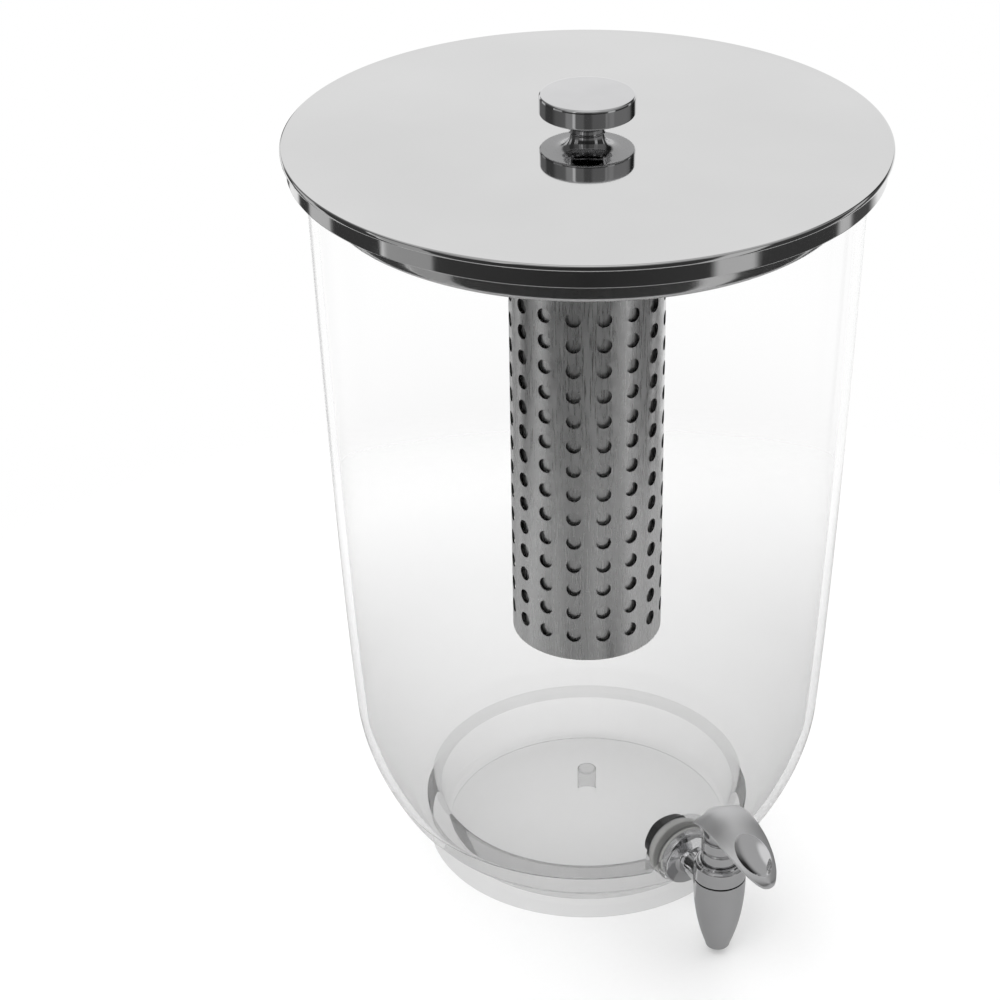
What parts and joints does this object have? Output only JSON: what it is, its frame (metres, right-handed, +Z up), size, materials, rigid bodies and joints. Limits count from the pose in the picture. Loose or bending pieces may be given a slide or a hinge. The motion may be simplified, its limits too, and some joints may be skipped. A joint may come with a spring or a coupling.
{
  "type": "juice dispenser",
  "caption": "Clear cold drink dispenser with a domed sump, a lift-off mirror lid that carries a perforated ice tube, and a sprung lever tap at the base.",
  "frame": {"origin": "middle of the whole part's outline seen from above, in the plane that the foot stands on; the container's axis is 11.65 mm behind it", "axes": "+Z up, parallel to the container's axis; the tap points to -Y; +X is to the right when the tap is faced"},
  "size_m": [0.24, 0.2634, 0.3487],
  "materials": {
    "container": "clear moulded polycarbonate, polished",
    "lid_plate": "mirror-polished stainless steel",
    "lid_skirt": "mirror-polished stainless steel",
    "lid_plug_ring": "polished stainless steel",
    "lid_gasket": "matt translucent white silicone",
    "lid_knob": "polished turned metal",
    "knob_screw": "plain stainless steel",
    "knob_washer": "plain stainless steel",
    "tube_collar": "satin stainless steel",
    "ice_tube": "satin perforated stainless steel",
    "ice_tube_rim": "satin stainless steel",
    "ice_tube_base": "satin stainless steel",
    "tap_body": "chromed brass",
    "tap_union_nut": "chromed brass",
    "tap_bonnet": "chromed brass",
    "tap_lever": "chromed zinc casting",
    "tap_outer_gasket": "matt silicone",
    "tap_inner_gasket": "matt silicone",
    "tap_lock_washer": "plain stainless steel",
    "tap_lock_nut": "black moulded nylon",
    "stem_seal": "matt black rubber",
    "valve_stem": "turned stainless steel",
    "valve_cup": "matt white silicone",
    "return_spring": "drawn stainless wire",
    "lever_pin": "ground stainless pin"
  },
  "bodies": {
    "base": {"container": "container", "tap_body": "tap_body", "tap_outer_gasket": "tap_outer_gasket", "tap_inner_gasket": "tap_inner_gasket", "tap_lock_washer": "tap_lock_washer", "tap_lock_nut": "tap_lock_nut", "tap_union_nut": "tap_union_nut", "tap_bonnet": "tap_bonnet", "stem_seal": "stem_seal"},
    "lid": {"lid_plate": "lid_plate", "lid_skirt": "lid_skirt", "lid_plug_ring": "lid_plug_ring", "lid_gasket": "lid_gasket", "lid_knob": "lid_knob", "knob_screw": "knob_screw", "knob_washer": "knob_washer", "tube_collar": "tube_collar"},
    "ice_insert": {"ice_tube": "ice_tube", "ice_tube_rim": "ice_tube_rim", "ice_tube_base": "ice_tube_base"},
    "lever": {"tap_lever": "tap_lever"},
    "stem": {"valve_stem": "valve_stem", "valve_cup": "valve_cup", "return_spring": "return_spring", "lever_pin": "lever_pin"}
  },
  "joints": [
    {"name": "lid_lift", "type": "slide", "parent": "base", "child": "lid", "axis": [0, 0, 1], "range_m": [0, 0.25]},
    {"name": "tube_turn", "type": "hinge", "parent": "lid", "child": "ice_insert", "pos_m": [0, 0.01165, 0.3176], "axis": [0, 0, 1], "range_deg": [0, 35]},
    {"name": "lever_press", "type": "hinge", "parent": "base", "child": "lever", "pos_m": [0, -0.10255, 0.05995], "axis": [1, 0, 0], "range_deg": [0, 20], "stiffness_Nm_per_rad": 0.3, "springref_deg": -11.46},
    {"name": "stem_lift", "type": "slide", "parent": "base", "child": "stem", "axis": [0, 0, 1], "range_m": [0, 0.00246], "deforming": ["return_spring"]}
  ],
  "couplings": [
    {"joint": "stem_lift", "follows": "lever_press", "m_per_rad": 0.007}
  ]
}
